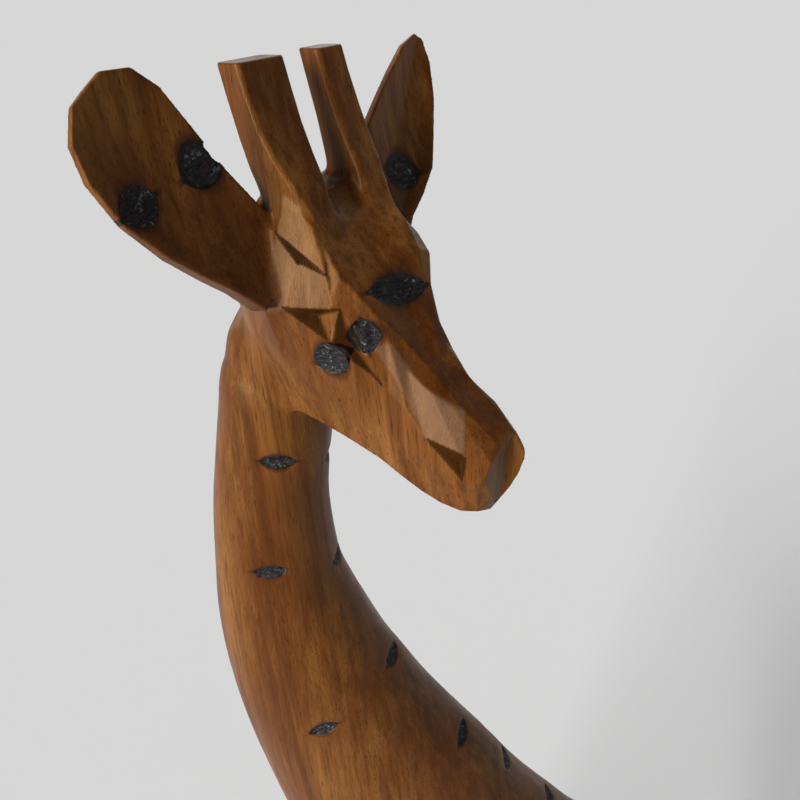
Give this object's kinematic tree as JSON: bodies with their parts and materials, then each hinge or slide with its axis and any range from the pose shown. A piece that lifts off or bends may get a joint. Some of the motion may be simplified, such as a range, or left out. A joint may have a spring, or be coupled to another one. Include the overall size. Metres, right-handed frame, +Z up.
{
  "type": "carved giraffe statue",
  "caption": "Standing wooden giraffe carved from one block, looking back over its left shoulder, with gouged and scorched spots.",
  "frame": {"origin": "on the floor, under the middle of the whole carving's bounding box", "axes": "+Z up; the body faces -Y; the giraffe's left side, over which it looks back, is +X"},
  "size_m": [0.1184, 0.3006, 0.8054],
  "materials": {
    "carved_wood": "red-brown hardwood, knife-cut facets, oiled to a satin sheen",
    "charred_wood": "scorched matt black-brown, rough and finely cracked"
  },
  "bodies": {
    "root": {"head": "carved_wood", "ear_left": "carved_wood", "ear_right": "carved_wood", "horn_left": "carved_wood", "horn_right": "carved_wood", "neck": "carved_wood", "torso": "carved_wood", "leg_front_left": "carved_wood", "leg_front_right": "carved_wood", "leg_rear_left": "carved_wood", "leg_rear_right": "carved_wood", "tail": "carved_wood", "burn_marks_head": "charred_wood", "burn_marks_ears": "charred_wood", "burn_marks_neck": "charred_wood", "burn_marks_torso": "charred_wood", "burn_marks_legs": "charred_wood"}
  },
  "joints": []
}
